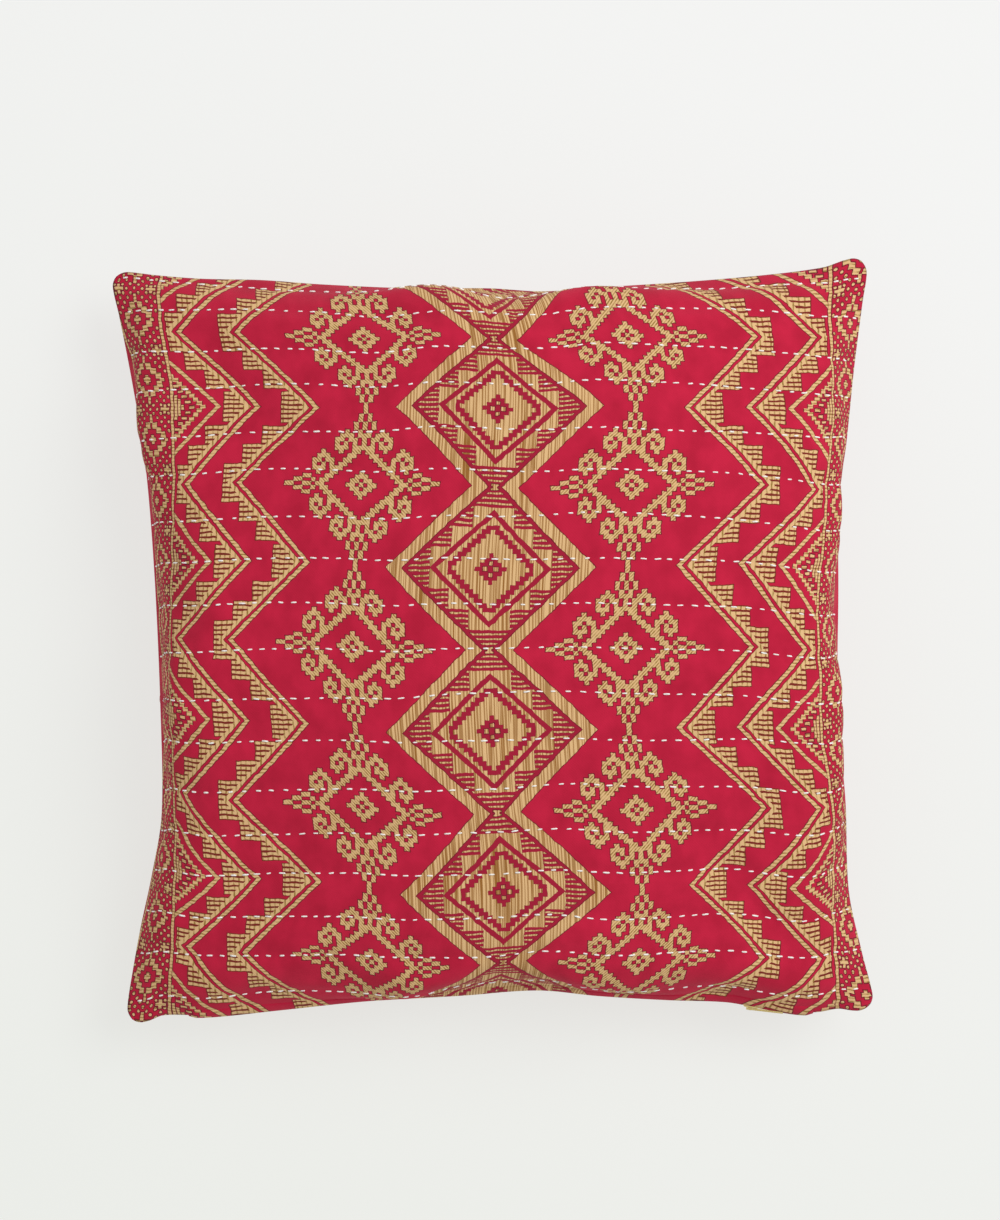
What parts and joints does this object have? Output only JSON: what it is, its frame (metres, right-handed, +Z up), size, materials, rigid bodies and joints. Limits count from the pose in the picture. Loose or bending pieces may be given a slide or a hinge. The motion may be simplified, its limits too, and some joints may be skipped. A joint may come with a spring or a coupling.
{
  "type": "kantha throw pillow",
  "caption": "Square throw pillow with a quilted cotton cover, rows of running stitch, a crowned filling, drawn-in sides and a small zip pull at its lower seam.",
  "frame": {"origin": "on the surface the pillow lies on, below the middle of its outline", "axes": "+Z up out of the pillow's face; +X to the pillow's right and +Y to its top, seen from above; the zip is along the -Y side"},
  "size_m": [0.4454, 0.4426, 0.12],
  "materials": {
    "cover": "matte printed cotton, crimson with tan motifs and white running stitch",
    "zip_metal": "polished brass"
  },
  "bodies": {
    "root": {"pillow": "cover", "zip_slider": "zip_metal", "zip_pull": "zip_metal"}
  },
  "joints": []
}
